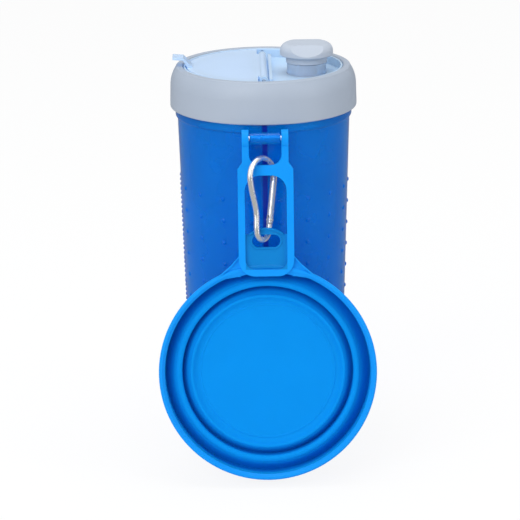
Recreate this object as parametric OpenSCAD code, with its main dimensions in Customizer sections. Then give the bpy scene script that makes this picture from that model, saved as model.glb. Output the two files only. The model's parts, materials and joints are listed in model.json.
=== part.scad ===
// Travel bottle for a dog: two chambers side by side, a screw collar over a deck with a spout and a
// flip lid, and a folding cup that hangs in front by a fork, with a carabiner through its handle.
// Millimetres, +Z up, base on Z = 0, bottle axis on the Z axis, cup on the -Y side, spout at +X.

/* [Bottle] */
// Height from the base to the top face of the collar
bottle_h = 210; // [190:1:240]
// Outer radius of the body under the collar
body_top_r = 46.2; // [44:0.1:48]
// Outer radius of the body at the base
body_base_r = 41.2; // [37:0.1:44]
// Wall of the body and the neck
wall_t = 2.4; // [1.8:0.1:3.2]
// Thickness of the base
base_t = 3; // [2:0.5:6]
// Radius of the corner between the wall and the base
base_corner_r = 8; // [5:0.5:12]
// Thickness of the divider between the chambers
divider_t = 2; // [1.4:0.1:3]
// How far the flange under the collar stands out from the body
flange_out = 1.1; // [0.6:0.1:1.4]
// Height of that flange
flange_h = 5.2; // [4.4:0.1:6]

/* [Collar] */
// Largest radius of the collar, at its lower edge
collar_r = 50; // [49.5:0.1:54]
// Height of the collar
collar_h = 22; // [21.5:0.5:26]
// Radius of the collar's lower edge
collar_edge_r = 0.8; // [0.4:0.1:1.4]
// Radius of the opening that shows the deck
lip_r = 42.9; // [42:0.1:43.5]
// Thickness of the lip over the deck
lip_t = 3.6; // [2.5:0.1:4.5]
// Radius of the collar's rounded shoulder
shoulder_r = 17; // [12:0.5:22]
// Height of the rounded shoulder
shoulder_h = 10.5; // [8:0.5:12]

/* [Collar thread] */
// Outer radius of the neck
neck_r = 43.4; // [43:0.1:44]
// Pitch of the collar's thread
thread_pitch = 4.5; // [4:0.1:6]
// Turns of each thread ridge
thread_turns = 1.25; // [1:0.25:2]
// Height of a thread ridge above its wall
thread_h = 1.2; // [0.8:0.1:1.4]
// Width of a thread ridge at its root
thread_w = 1.9; // [1.4:0.1:2]
// Radial gap between a thread ridge and the wall it faces
thread_gap = 0.6; // [0.4:0.1:0.8]
// How far the snap ridge that holds the deck in the collar reaches under the deck's edge
snap_grip = 0.5; // [0.3:0.1:0.6]

/* [Deck] */
// Thickness of the deck's edge under the lip
deck_edge_t = 3.3; // [2.8:0.1:4]
// Thickness of the deck's floor
deck_floor_t = 2; // [1.6:0.1:2.6]
// Thickness of the gasket under the deck
gasket_t = 1.4; // [1:0.1:2]
// Radius of the snack opening
snack_r = 36.5; // [34:0.1:37.5]
// Distance from the middle to the snack opening's straight edge
snack_edge = 5.2; // [4.8:0.1:8]
// Thickness of the wall around the snack opening
coaming_t = 1.8; // [1.4:0.1:2]
// Height of that wall above the deck's floor
coaming_h = 2.2; // [1.6:0.1:2.4]
// Thickness of the deck's wall inside the collar's opening
liner_t = 1.2; // [0.8:0.1:1.4]
// Depth of that wall's top below the collar's top face
liner_drop = 0.3; // [0.1:0.1:0.8]

/* [Spout] */
// Distance from the bottle axis to the spout axis
spout_x = 23.3; // [21:0.1:25]
// Radius of the spout's foot
spout_foot_r = 10.5; // [10.2:0.1:11.2]
// Height of the spout's foot above the deck's floor
spout_foot_h = 9.4; // [7:0.1:12]
// Outer radius of the spout tube
spout_r = 6.4; // [6:0.1:7]
// Radius of the spout's bore
spout_bore_r = 4.8; // [3.6:0.1:5]
// Height of the spout tube above its foot
spout_tube_h = 5; // [4.6:0.1:5.4]
// Pitch of the cap's thread
cap_pitch = 3; // [2.4:0.1:3.4]
// Height of the cap's thread ridges
cap_thread_h = 0.6; // [0.4:0.1:0.7]
// Width of the cap's thread ridges at their root
cap_thread_w = 1.1; // [0.8:0.1:1.2]

/* [Spout cap] */
// Radius of the cap
cap_r = 14.2; // [13.4:0.1:15]
// Height of the cap
cap_h = 6.6; // [6.5:0.1:8]
// Gap between the cap and the spout's foot
cap_gap = 0.5; // [0.3:0.1:1]
// Radius of the cap's rounded shoulder
cap_shoulder_r = 4.2; // [3:0.1:5]
// Slope of the two finger flats
cap_flat_angle = 42; // [36:0.5:48]
// Half the width of the top between the finger flats
cap_flat_y = 8.2; // [7.4:0.1:9.5]
// Height of the skirt that hangs from the cap round the spout's foot
cap_skirt_h = 3.7; // [2.5:0.1:5]
// Thickness of the seal in the cap
cap_seal_t = 0.8; // [0.6:0.1:1.2]

/* [Flip lid] */
// Gap between the flip lid and the deck's wall round it
flip_gap = 0.6; // [0.4:0.1:1]
// Thickness of the flip lid's plate
flip_t = 1.5; // [1.2:0.1:2]
// Radius of the hinge barrel
barrel_r = 2.4; // [2.2:0.1:2.5]
// Length of the lid's barrel
barrel_len = 57; // [50:1:60]
// Thickness of the two ears that hold the hinge pin
ear_t = 3.6; // [2.5:0.1:4]
// Radius of the hinge pin
flip_pin_r = 1; // [0.8:0.05:1.2]
// Length of the plug wall under the lid
plug_h = 3.8; // [2:0.1:4.5]
// Thickness of the plug wall
plug_t = 1.6; // [1.2:0.1:2.4]
// Thickness of the seal under the lid
flip_seal_t = 0.8; // [0.6:0.1:1]
// Width of the lift tab
tab_w = 9; // [5:0.5:12]
// Thickness of the lift tab
tab_t = 1.5; // [1.2:0.1:2]
// How far the lift tab reaches past the collar's opening
tab_reach = 5.4; // [4:0.1:8]
// Height of the lift tab's underside above the collar
tab_rise = 3.2; // [1.5:0.1:5]

/* [Cup hinge] */
// Distance from the bottle axis to the hinge axis
hinge_out = 52; // [51.5:0.1:54]
// Height of the hinge axis below the collar's top face
hinge_drop = 28.3; // [28:0.1:32]
// Radius of the bar on the bottle
bar_r = 3.2; // [2.8:0.1:3.4]
// Length of the bar
bar_len = 16; // [14:0.5:18]
// Radius of the steel hinge pin
cup_pin_r = 1.5; // [1.2:0.1:1.8]
// Lean of the hanging cup from the vertical
cup_lean = 10; // [10:0.5:12]

/* [Cup handle] */
// Thickness of the handle
handle_t = 4.4; // [3.6:0.1:4.8]
// Gap between the bar's end and a prong
prong_gap = 0.5; // [0.3:0.1:1]
// Width of a prong
prong_w = 3.6; // [3:0.1:4.5]
// Radius of a prong's round end
prong_end_r = 4.6; // [4.2:0.1:4.8]
// Width of the handle's frame
frame_w = 29; // [28:0.5:32]
// Width of the frame's side bars
frame_bar = 3.6; // [3:0.1:4.5]
// Distance from the hinge axis to the cross bar
crossbar_s = 13.9; // [13.5:0.1:15]
// Radius of the fork's inner corners, above the cross bar
fork_corner_r = 5.6; // [4:0.1:8]
// Width of the cross bar
crossbar_w = 5.3; // [4.5:0.1:5.6]
// Distance from the hinge axis to the bottom of the slot
slot_end_s = 68.3; // [67:0.1:69]
// Radius of the slot's upper corners
slot_top_r = 8; // [4:0.5:10]
// Radius of the slot's lower corners
slot_low_r = 5; // [3:0.5:7]
// Thickness of the tongue in the slot
tongue_t = 1.8; // [1.6:0.1:2]
// Distance from the hinge axis to the top of the tongue's arch
tongue_s = 46.6; // [45.8:0.1:47.5]
// Width of the tongue's arch over its hole
arch_w = 3.6; // [3:0.1:4]
// Gap between the tongue's arch and each side of the slot
arch_side_gap = 1.5; // [1:0.1:3]
// Width of the tongue's hole
hole_w = 14.6; // [13:0.1:16]
// Height of the tongue's hole
hole_h = 6.6; // [6:0.1:7]

/* [Cup bowl] */
// Outer radius of the cup's rim
rim_r = 57.2; // [55:0.1:60]
// Width of the rim
rim_w = 4.4; // [3.6:0.1:5]
// Thickness of the rim
rim_t = 3.6; // [3:0.1:4.2]
// How far the rim's face lies behind the handle's face
rim_back = 1.2; // [0.8:0.1:1.6]
// How far the rim laps over the end of the handle
rim_lap = 6.2; // [5:0.1:7]
// Depth of the folded bowl behind the rim's face
bowl_depth = 14; // [12:0.5:16]
// Thickness of the bowl's top band
band_t = 1.2; // [1:0.1:1.6]
// Width of the groove between the rim and the fold ring
outer_groove_w = 5; // [4.4:0.1:5.6]
// Width of the fold ring
fold_w = 2.8; // [2.2:0.1:3]
// Width of the groove between the fold ring and the base
inner_groove_w = 4; // [3.4:0.1:5]
// Width of the base's ridge
base_ring_w = 2.9; // [2.2:0.1:3.4]
// Width of the slope between the base's ridge and its flat disc
base_slope_w = 5.1; // [3:0.1:8]
// Thickness of the folding webs
web_t = 0.8; // [0.6:0.1:1]
// Depth of the ridges behind the rim's face
ridge_back = 5; // [3.5:0.1:6]
// Depth of the base's disc behind the ridges
disc_back = 2.6; // [1.5:0.1:3]

/* [Carabiner] */
// Diameter of the carabiner's rod
rod_d = 3; // [2.6:0.1:3.2]
// Radius of the wide bend, to the rod's centre
big_bend_r = 9.4; // [9:0.1:9.8]
// Radius of the narrow bend, to the rod's centre
small_bend_r = 4.6; // [4.2:0.1:5]
// Length of the carabiner
carabiner_len = 45.6; // [45.2:0.1:46]
// Turn of the carabiner out of the handle's plane
carabiner_turn = 48; // [44:0.5:49]
// Length of the gate
gate_len = 24.6; // [24:0.1:25]
// Radius of the gate
gate_r = 1.7; // [1.6:0.05:1.8]
// Thickness of the tang and blade that the gate's slots take
tang_t = 1.2; // [1:0.1:1.4]
// Radius of the gate's rivet
rivet_r = 0.7; // [0.5:0.05:0.8]

/* [Hidden] */
$fn = 96;

body_blue = [0.06, 0.4, 0.8, 0.7];
cup_blue = [0.12, 0.6, 1];
collar_grey = [0.73, 0.77, 0.83];
deck_pale = [0.74, 0.84, 0.97, 0.8];
silver = [0.8, 0.8, 0.8];

eps = 0.01; // overshoot of cutting tools
running_gap = 0.05; // radial gap of a pin that turns
fixed_gap = 0.02; // radial gap of a pin that is held
seat_gap = 0.2; // gap between parts that rest near each other
soft_gap = 0.1; // gap between a folding web and the bands it joins

// Stack of the lid, from the collar's top face down
deck_top_z = bottle_h - lip_t - seat_gap;
deck_z = deck_top_z - deck_edge_t;
floor_z = deck_z + deck_floor_t;
neck_top_z = deck_z - gasket_t;
collar_z = bottle_h - collar_h;

// Body
flange_top_z = collar_z - seat_gap;
flange_z = flange_top_z - flange_h;
flange_r = body_top_r + flange_out;
neck_in_r = neck_r - wall_t;
function body_r(z) = body_base_r + (body_top_r - body_base_r) * z / flange_z;

// Collar
collar_in_r = neck_r + thread_h + thread_gap + 0.6;
thread_z = collar_z + thread_pitch;
thread_inner_z = thread_z - thread_pitch / 2;
deck_r = collar_in_r - 0.5;
snap_z = deck_z - 0.25;
snap_h = 0.5;

// Flip lid
coaming_z = floor_z + coaming_h;
flip_z = coaming_z + flip_seal_t;
liner_r = lip_r - seat_gap;
flip_r = liner_r - liner_t - flip_gap;
axis_z = flip_z + flip_t + 0.7 - barrel_r;
flip_pin_len = barrel_len + 2 * seat_gap + 2 * ear_t;

// Spout and cap
spout_foot_z = floor_z + spout_foot_h;
spout_top_z = spout_foot_z + spout_tube_h;
cap_z = spout_foot_z + cap_gap;
cap_bore_r = spout_r + cap_thread_h + 0.3;
cap_seal_z = spout_top_z + 0.1;
cap_roof_z = cap_seal_z + cap_seal_t;
cap_thread_up = 2.2; // start of the thread, above the spout's foot
cap_thread_z = spout_foot_z + cap_thread_up;
cap_thread_inner_z = cap_thread_z - 0.38 * cap_pitch;
cap_thread_turns = (spout_tube_h - cap_thread_up - cap_thread_w / 2) / cap_pitch;
skirt_t = 1.1;
skirt_in_r = spout_foot_r - 0.6; // the foot steps in under the cap, to pass inside the skirt

// Cup, in the frame of the hanging handle: hinge axis on X, s runs down it, n runs out towards -Y
hinge_z = bottle_h - hinge_drop;
handle_n = handle_t / 2;
rim_n = handle_n - rim_back;
tongue_n = 0.4; // front face of the tongue
bar_gap_x = bar_len / 2 + prong_gap;
prong_x = bar_gap_x + prong_w;
slot_half = frame_w / 2 - frame_bar;
slot_s = crossbar_s + crossbar_w;
frame_end_s = slot_end_s + frame_bar;
rim_in_r = rim_r - rim_w;
bowl_s = frame_end_s + rim_r - rim_lap;
band_r = rim_in_r - 0.05;
fold_r = rim_in_r - outer_groove_w;
base_ring_r = fold_r - fold_w - inner_groove_w;
disc_r = base_ring_r - base_ring_w - base_slope_w;
bowl_end_n = rim_n - bowl_depth;
ridge_n = rim_n - ridge_back;

// Carabiner, in its own plane: w runs from the spine to the gate
carabiner_top_s = 8.8;
rod_r = rod_d / 2;
big_s = carabiner_top_s + rod_r + big_bend_r;
small_s = carabiner_top_s + carabiner_len - rod_r - small_bend_r;
taper = asin((big_bend_r - small_bend_r) / (small_s - big_s));
carabiner_x = -1.7;
carabiner_y = 0.5;
side_len = (small_s - big_s) * cos(taper);
rivet_up = 6.2; // rivet above the end of the narrow bend
nose_angle = 4; // end of the wide bend, above its centre
nose_len = big_bend_r * sin(nose_angle + taper);

function arc(cx, cy, r, a0, a1, n = 8) =
    [for (i = [0:n]) let (a = a0 + (a1 - a0) * i / n) [cx + r * cos(a), cy + r * sin(a)]];

// A thread ridge: a trapezium swept along a helix that rises anticlockwise. Its root is sunk into its
// wall, and its height fades at both ends. The crest lies outside the root on a neck, and inside it in
// a cap.
module thread_ridge(root_r, crest_r, width, pitch, turns, z0) {
    step = 10;
    steps = round(turns * 360 / step);
    fade_steps = 4;
    least = 0.1;
    sink = 0.3 * sign(root_r - crest_r);
    tip_half = width * 0.22;
    points = [for (i = [0:steps])
        let (
            a = i * step,
            z = z0 + pitch * a / 360,
            fade = max(least, min(1, i / fade_steps, (steps - i) / fade_steps)),
            crest = root_r + (crest_r - root_r) * fade,
            root = root_r + sink,
            section = [[root, -width / 2], [crest, -tip_half], [crest, tip_half], [root, width / 2]]
        )
        for (p = section) [p[0] * cos(a), p[0] * sin(a), z + p[1]]];
    inward = crest_r < root_r;
    side_faces = [for (i = [0:steps - 1], k = [0:3])
        let (a = 4 * i + k, b = 4 * i + (k + 1) % 4)
        for (f = [[a, b, b + 4], [a, b + 4, a + 4]]) inward ? [f[2], f[1], f[0]] : f];
    last = 4 * steps;
    start_face = inward ? [0, 1, 2, 3] : [3, 2, 1, 0];
    end_face = [for (k = inward ? [3:-1:0] : [0:3]) last + k];
    polyhedron(points, concat(side_faces, [start_face, end_face]));
}

// The part of a disc on the snack side of a straight edge
module d_shape(r, edge) {
    intersection() {
        circle(r);
        translate([-2 * r, -r]) square([2 * r - edge, 2 * r]);
    }
}

// A D-shaped wall between two outlines that keep the same distance all round
module d_ring(r, edge, t) {
    difference() {
        d_shape(r, edge);
        d_shape(r - t, edge + t);
    }
}

module bottle_body() {
    foot_a = -90;
    low_curve_r = 1.4;
    top_edge = 0.3;
    outer = concat(
        [[0, 0]],
        arc(body_base_r - base_corner_r, base_corner_r, base_corner_r, foot_a, 0),
        [[body_top_r, flange_z]],
        arc(flange_r - low_curve_r, flange_z + low_curve_r, low_curve_r, -60, 0, 5),
        [[flange_r, flange_top_z - top_edge], [flange_r - top_edge, flange_top_z], [neck_r, flange_top_z],
         [neck_r, neck_top_z - 0.6], [neck_r - 0.6, neck_top_z], [0, neck_top_z]]);
    in_corner = base_corner_r - wall_t;
    hollow = concat(
        [[0, base_t]],
        arc(body_base_r - wall_t - in_corner, base_t + in_corner, in_corner, foot_a, 0),
        [[body_top_r - wall_t, flange_z], [neck_in_r, flange_top_z - 1.4],
         [neck_in_r, neck_top_z + eps], [0, neck_top_z + eps]]);
    color(body_blue) difference() {
        union() {
            rotate_extrude() polygon(outer);
            thread_ridge(neck_r, neck_r + thread_h, thread_w, thread_pitch, thread_turns, thread_z);
            lug();
        }
        difference() {
            rotate_extrude() polygon(hollow);
            translate([-divider_t / 2, -body_top_r, 0]) cube([divider_t, 2 * body_top_r, bottle_h]);
        }
        translate([-bar_len, -hinge_out, hinge_z]) rotate([0, 90, 0])
            cylinder(r = cup_pin_r + running_gap, h = 2 * bar_len);
    }
}

// The bar that carries the cup, with the web that joins it to the wall
module lug() {
    web_h = 2 * bar_r - 2.4;
    web_in = body_top_r - wall_t / 2;
    web_inset = 2;
    translate([-bar_len / 2, -hinge_out, hinge_z]) rotate([0, 90, 0]) cylinder(r = bar_r, h = bar_len);
    translate([-bar_len / 2 + web_inset, -hinge_out, hinge_z - bar_r])
        cube([bar_len - 2 * web_inset, hinge_out - web_in + 1.5, web_h]);
}

module lid_collar() {
    side_r = collar_r - 0.25;
    side_z = bottle_h - shoulder_h;
    corner_r = 1.6;
    lip_corner = 0.8;
    outline = concat(
        [[collar_in_r, collar_z]],
        arc(collar_r - collar_edge_r, collar_z + collar_edge_r, collar_edge_r, -90, 0, 4),
        [[collar_r, collar_z + 3], [side_r, side_z]],
        arc(side_r - shoulder_r, side_z, shoulder_r, 5, 34),
        arc(lip_r + 2.55, bottle_h - corner_r, corner_r, 36, 90, 4),
        arc(lip_r + lip_corner, bottle_h - lip_corner, lip_corner, 90, 180, 4),
        [[lip_r, bottle_h - lip_t], [collar_in_r, bottle_h - lip_t], [collar_in_r, snap_z],
         [deck_r - snap_grip, snap_z], [deck_r - snap_grip, snap_z - snap_h],
         [collar_in_r, snap_z - 3 * snap_h]]);
    color(collar_grey) union() {
        rotate_extrude() polygon(outline);
        thread_ridge(collar_in_r, neck_r + thread_gap, thread_w, thread_pitch, thread_turns,
            thread_inner_z);
    }
}

module lid_deck() {
    rib_x = barrel_r + 0.5;
    rib_w = 1.8;
    rib_h = 3.6;
    edge_w = 3.2;
    step_z = spout_foot_z + cap_gap - cap_skirt_h - 0.3;
    step_r = skirt_in_r - 0.3;
    liner_z = bottle_h - liner_drop;
    liner_in_r = liner_r - liner_t;
    liner = concat([[liner_in_r, deck_z], [liner_r, deck_z]],
        arc(liner_r - liner_t / 2, liner_z - liner_t / 2, liner_t / 2, 0, 180, 6));
    color(deck_pale) difference() {
        union() {
            translate([0, 0, deck_z]) cylinder(r = deck_r, h = deck_floor_t);
            translate([0, 0, deck_z]) linear_extrude(deck_edge_t) difference() {
                circle(deck_r);
                circle(deck_r - edge_w);
            }
            rotate_extrude() polygon(liner);
            translate([0, 0, deck_z]) linear_extrude(deck_floor_t + coaming_h)
                d_shape(snack_r + coaming_t, snack_edge - coaming_t);
            translate([rib_x, -barrel_len / 2 - ear_t, deck_z])
                cube([rib_w, barrel_len + 2 * ear_t, deck_floor_t + rib_h]);
            for (side = [-1, 1]) ear(side);
            translate([spout_x, 0, deck_z]) cylinder(r = spout_foot_r, h = step_z - deck_z);
            translate([spout_x, 0, deck_z]) cylinder(r = step_r, h = spout_foot_z - deck_z);
            translate([spout_x, 0, deck_z]) cylinder(r = spout_r, h = spout_top_z - deck_z);
            translate([spout_x, 0, 0])
                thread_ridge(spout_r, spout_r + cap_thread_h, cap_thread_w, cap_pitch, cap_thread_turns,
                    cap_thread_z);
        }
        translate([0, 0, deck_z - eps]) linear_extrude(deck_floor_t + coaming_h + 1)
            d_shape(snack_r, snack_edge);
        translate([spout_x, 0, deck_z - eps]) cylinder(r = spout_bore_r, h = spout_top_z - deck_z + 1);
        translate([0, barrel_len, axis_z]) rotate([90, 0, 0])
            cylinder(r = flip_pin_r + fixed_gap, h = 2 * barrel_len);
    }
}

// One of the two ears on the deck that hold the flip lid's pin
module ear(side) {
    y = side * (barrel_len / 2 + seat_gap + ear_t / 2);
    translate([0, y + ear_t / 2, axis_z]) rotate([90, 0, 0]) cylinder(r = barrel_r, h = ear_t);
    translate([-barrel_r, y - ear_t / 2, deck_z]) cube([2 * barrel_r, ear_t, axis_z - deck_z]);
}

module deck_gasket() {
    color("white") translate([0, 0, neck_top_z]) linear_extrude(gasket_t) union() {
        difference() {
            circle(neck_r - 0.2);
            circle(neck_in_r + 0.2);
        }
        intersection() {
            circle(neck_r - 0.2);
            square([divider_t + 1, 3 * neck_r], center = true);
        }
    }
}

module spout_cap() {
    chamfer = 0.5;
    skirt_r = skirt_in_r + skirt_t;
    roof = cap_roof_z - cap_z;
    outline = concat(
        [[cap_bore_r, 0], [skirt_in_r, 0], [skirt_in_r, -cap_skirt_h], [skirt_r, -cap_skirt_h],
         [skirt_r, 0], [cap_r - chamfer, 0], [cap_r, chamfer]],
        arc(cap_r - cap_shoulder_r, cap_h - cap_shoulder_r, cap_shoulder_r, 0, 90, 8),
        [[0, cap_h], [0, roof], [cap_bore_r, roof]]);
    color(collar_grey) translate([spout_x, 0, cap_z]) difference() {
        union() {
            rotate_extrude() polygon(outline);
            thread_ridge(cap_bore_r, spout_r + 0.3, cap_thread_w, cap_pitch, cap_thread_turns,
                cap_thread_inner_z - cap_z);
        }
        for (turn = [0, 180]) rotate([0, 0, turn]) translate([-2 * cap_r, -cap_flat_y, cap_h])
            rotate([cap_flat_angle, 0, 0]) translate([0, -4 * cap_r, 0])
                cube([4 * cap_r, 4 * cap_r, 2 * cap_r]);
    }
}

module cap_seal() {
    color("white") translate([spout_x, 0, cap_seal_z]) cylinder(r = cap_bore_r - 0.1, h = cap_seal_t);
}

module flip_lid() {
    plug_r = snack_r - 0.5;
    plug_edge = snack_edge + 0.8;
    bent_x = lip_r - 5.4;
    tab_z = bottle_h + tab_rise;
    tab_x = lip_r + tab_reach;
    tab_side = [[-bent_x, flip_z], [-bent_x, flip_z + flip_t], [-lip_r + 0.4, tab_z + tab_t],
        [-tab_x, tab_z + tab_t + 0.4], [-tab_x, tab_z + 0.4], [-lip_r + 0.2, tab_z],
        [-bent_x - 2.2, flip_z]];
    color(deck_pale) difference() {
        union() {
            translate([0, 0, flip_z]) linear_extrude(flip_t) d_shape(flip_r, barrel_r + 0.6);
            translate([-barrel_r - 1, -barrel_len / 2, flip_z])
                cube([barrel_r + 1, barrel_len, flip_t]);
            translate([0, 0, flip_z - plug_h]) linear_extrude(plug_h + eps)
                d_ring(plug_r, plug_edge, plug_t);
            translate([0, barrel_len / 2, axis_z]) rotate([90, 0, 0])
                cylinder(r = barrel_r, h = barrel_len);
            translate([0, tab_w / 2, 0]) rotate([90, 0, 0]) linear_extrude(tab_w) polygon(tab_side);
        }
        translate([0, barrel_len, axis_z]) rotate([90, 0, 0])
            cylinder(r = flip_pin_r + running_gap, h = 2 * barrel_len);
    }
}

module flip_lid_seal() {
    color("white") translate([0, 0, coaming_z]) linear_extrude(flip_seal_t)
        d_ring(snack_r + coaming_t, snack_edge - coaming_t + 0.2, coaming_t + 0.2);
}

module flip_hinge_pin() {
    color(silver) translate([0, flip_pin_len / 2, axis_z]) rotate([90, 0, 0])
        cylinder(r = flip_pin_r, h = flip_pin_len);
}

// Moves a piece from the hanging handle's frame, with Z = -s and Y = -n, to its place on the bottle
module on_hinge() {
    translate([0, -hinge_out, hinge_z]) rotate([-cup_lean, 0, 0]) children();
}

// Extrudes an outline in X and -s from one n to another
module plate(n0, n1) {
    translate([0, -n0, 0]) rotate([90, 0, 0]) linear_extrude(n1 - n0) children();
}

// Stands a solid of revolution on the bowl's centre, with its axis along n
module on_bowl() {
    on_hinge() translate([0, 0, -bowl_s]) rotate([90, 0, 0]) children();
}

// A rectangle with four round corners of two radii, from exact squares and circles
module soft_rect(half, top_s, low_s, top_r, low_r) {
    translate([-half, -low_s + low_r]) square([2 * half, low_s - top_s - low_r - top_r]);
    translate([-half + top_r, -top_s - top_r - eps]) square([2 * (half - top_r), top_r + eps]);
    translate([-half + low_r, -low_s]) square([2 * (half - low_r), low_r + eps]);
    for (side = [-1, 1]) {
        translate([side * (half - top_r), -top_s - top_r]) circle(top_r);
        translate([side * (half - low_r), -low_s + low_r]) circle(low_r);
    }
}

module handle_outline() {
    shoulder_s = crossbar_s + 2;
    shoulder_rise = 3.4;
    low_corner = slot_low_r + frame_bar;
    fork_s = crossbar_s - fork_corner_r;
    waist_s = slot_s + 10;
    difference() {
        union() {
            for (side = [-1, 1]) {
                x = side > 0 ? bar_gap_x : -prong_x;
                translate([x, -crossbar_s]) square([prong_w, crossbar_s]);
            }
            polygon([[-prong_x, -fork_s], [-prong_x, -shoulder_s + shoulder_rise],
                [-frame_w / 2, -shoulder_s], [-frame_w / 2, -waist_s], [frame_w / 2, -waist_s],
                [frame_w / 2, -shoulder_s], [prong_x, -shoulder_s + shoulder_rise], [prong_x, -fork_s]]);
            soft_rect(frame_w / 2, slot_s, frame_end_s, 1, low_corner);
        }
        translate([-bar_gap_x, -fork_s]) square([2 * bar_gap_x, fork_s + 1]);
        translate([-bar_gap_x + fork_corner_r, -crossbar_s])
            square([2 * (bar_gap_x - fork_corner_r), fork_corner_r + eps]);
        for (side = [-1, 1]) translate([side * (bar_gap_x - fork_corner_r), -fork_s]) circle(fork_corner_r);
        soft_rect(slot_half, slot_s, slot_end_s, slot_top_r, slot_low_r);
    }
}

module tongue_outline() {
    edge_s = tongue_s + 3.4;
    chord = slot_half - arch_side_gap;
    arch_r = (pow(chord, 2) + pow(edge_s - tongue_s, 2)) / (2 * (edge_s - tongue_s));
    hole_s = tongue_s + arch_w + hole_h / 2;
    difference() {
        union() {
            translate([-slot_half - 1, -slot_end_s - 1])
                square([2 * slot_half + 2, slot_end_s + 1 - edge_s]);
            intersection() {
                translate([0, -tongue_s - arch_r]) circle(arch_r);
                translate([-chord, -edge_s - 1]) square([2 * chord, 10]);
            }
        }
        translate([-hole_w / 2 + hole_h / 2, -hole_s - hole_h / 2]) square([hole_w - hole_h, hole_h]);
        for (side = [-1, 1]) translate([side * (hole_w - hole_h) / 2, -hole_s]) circle(hole_h / 2);
    }
}

// The web that stiffens the corner between the frame and the rim, on one side
module gusset_outline(side, shrink) {
    near_x = frame_w / 2 - 1;
    top_s = slot_end_s - 7.8;
    elbow_x = frame_w / 2 + 4;
    elbow_s = top_s + 5.6;
    far_x = frame_w / 2 + 11.1;
    far_s = bowl_s - sqrt(pow(rim_r, 2) - pow(far_x, 2)) + 0.6;
    polygon([[side * near_x, -top_s - shrink], [side * elbow_x, -elbow_s - shrink],
        [side * (far_x - shrink), -far_s], [side * near_x, -slot_end_s - 4]]);
}

module cup_frame() {
    edge = 0.8;
    lead_in = [2.4, 1.3];
    rim = [[rim_in_r, -rim_t], [rim_r - edge, -rim_t], [rim_r, -rim_t + edge], [rim_r, -edge],
        [rim_r - edge, 0], [rim_in_r + lead_in[0], 0], [rim_in_r, -lead_in[1]]];
    edge_line = 1;
    color(cup_blue) on_hinge() difference() {
        union() {
            plate(-handle_n, handle_n) handle_outline();
            for (side = [-1, 1])
                translate([side > 0 ? bar_gap_x : -prong_x, 0, 0]) rotate([0, 90, 0])
                    cylinder(r = prong_end_r, h = prong_w);
            plate(tongue_n - tongue_t, tongue_n) tongue_outline();
            for (side = [-1, 1]) {
                plate(-handle_n + 1, rim_n - 1) gusset_outline(side, 0);
                plate(-handle_n + 1, rim_n) difference() {
                    gusset_outline(side, 0);
                    gusset_outline(side, edge_line);
                }
            }
            translate([0, -rim_n, -bowl_s]) rotate([90, 0, 0]) rotate_extrude() polygon(rim);
        }
        translate([0, 0.2, -bowl_s]) rotate([-90, 0, 0]) cylinder(r = rim_in_r, h = bowl_depth);
        translate([-2 * prong_x, 0, 0]) rotate([0, 90, 0])
            cylinder(r = cup_pin_r + fixed_gap, h = 4 * prong_x);
    }
}

module cup_hinge_pin() {
    length = 2 * prong_x - 0.4;
    color(silver) on_hinge() translate([-length / 2, 0, 0]) rotate([0, 90, 0])
        cylinder(r = cup_pin_r, h = length);
}

// The bowl's bands and webs are solids of revolution about its axis, with radius and n as their coordinates
module bowl_top_band() {
    in_r = band_r - band_t;
    color(cup_blue) on_bowl() rotate_extrude()
        polygon([[in_r, bowl_end_n], [band_r, bowl_end_n], [band_r, -0.5], [in_r, -0.5]]);
}

// A thin cone from the foot of one band up to the top of the next
module fold_web(outer_r, inner_r) {
    low_n = bowl_end_n + 0.2;
    high_n = ridge_n - 0.3;
    color(cup_blue) on_bowl() rotate_extrude() polygon([[outer_r, low_n], [outer_r, low_n + web_t],
        [inner_r, high_n], [inner_r, high_n - 1.4 * web_t]]);
}

module fold_web_outer() {
    fold_web(band_r - band_t - soft_gap, fold_r + soft_gap);
}

module fold_ring() {
    crown = 0.8;
    in_r = fold_r - fold_w;
    color(cup_blue) on_bowl() rotate_extrude() polygon(concat([[in_r, bowl_end_n], [fold_r, bowl_end_n]],
        arc(fold_r - crown, ridge_n - crown, crown, 0, 90, 4),
        arc(in_r + crown, ridge_n - crown, crown, 90, 180, 4)));
}

module fold_web_inner() {
    fold_web(fold_r - fold_w - soft_gap, base_ring_r + soft_gap);
}

module bowl_base() {
    crown = 0.8;
    disc_n = ridge_n - disc_back;
    in_r = base_ring_r - base_ring_w;
    under_n = disc_n - 1.8;
    color(cup_blue) on_bowl() rotate_extrude() polygon(concat(
        [[0, under_n], [disc_r, under_n], [disc_r + 1, bowl_end_n], [base_ring_r, bowl_end_n]],
        arc(base_ring_r - crown, ridge_n - crown, crown, 0, 90, 4),
        arc(in_r + crown, ridge_n - crown, crown, 90, 150, 4), [[disc_r, disc_n], [0, disc_n]]));
}

// Turns the carabiner's plane, with X = w and Z = -s, out of the handle's plane
module on_carabiner() {
    on_hinge() translate([carabiner_x, carabiner_y, 0]) rotate([0, 0, carabiner_turn]) children();
}

// A round rod bent along an arc in the carabiner's plane
module bend(s, bend_r, a0, a1) {
    translate([0, 0, -s]) rotate([90, 0, 0]) rotate([0, 0, a0]) rotate_extrude(angle = a1 - a0)
        translate([bend_r, 0]) circle(rod_r, $fn = 32);
}

// Places a piece on one straight side, with Z running up that side from the end of the narrow bend
module on_side(side) {
    translate([side * small_bend_r * cos(taper), 0, -small_s - small_bend_r * sin(taper)])
        rotate([0, side * taper, 0]) children();
}

// A bead a hair wider than the rod, which joins a bend to a straight side
module rod_joint(along) {
    translate([0, 0, along]) sphere(rod_r + 0.04, $fn = 32);
}

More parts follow.
